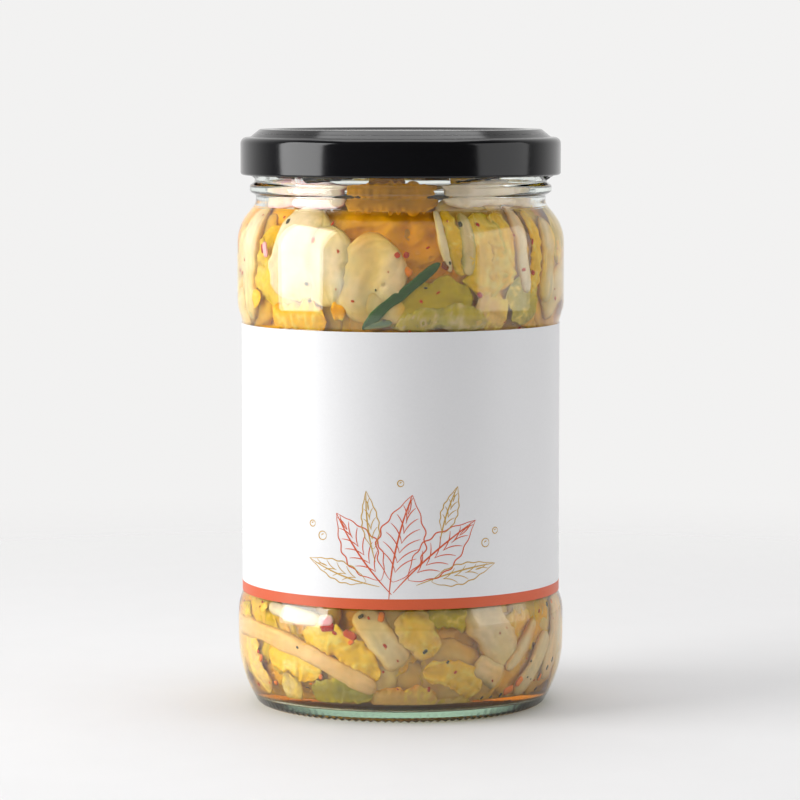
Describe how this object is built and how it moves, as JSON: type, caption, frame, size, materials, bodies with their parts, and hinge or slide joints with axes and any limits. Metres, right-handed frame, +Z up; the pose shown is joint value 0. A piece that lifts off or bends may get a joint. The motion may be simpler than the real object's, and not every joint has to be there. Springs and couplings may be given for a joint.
{
  "type": "kimchi jar",
  "caption": "Glass twist-off jar with a black lid and a wrap-round paper label, filled with kimchi in its brine; stands on its base.",
  "frame": {"origin": "middle of the bearing ring that the jar stands on", "axes": "+Z up along the jar's axis; -Y is the front of the label; +X is to the right seen from the front"},
  "size_m": [0.087, 0.087, 0.1531],
  "materials": {
    "clear_glass": "clear moulded flint glass, glossy",
    "black_lacquer": "glossy black lacquer on pressed steel",
    "label_paper": "white coated paper, satin, with an orange-red stripe and line drawings",
    "food": "wet fermented cabbage in orange brine"
  },
  "bodies": {
    "root": {"glass_jar": "clear_glass", "lid": "black_lacquer", "label": "label_paper", "kimchi": "food"}
  },
  "joints": []
}
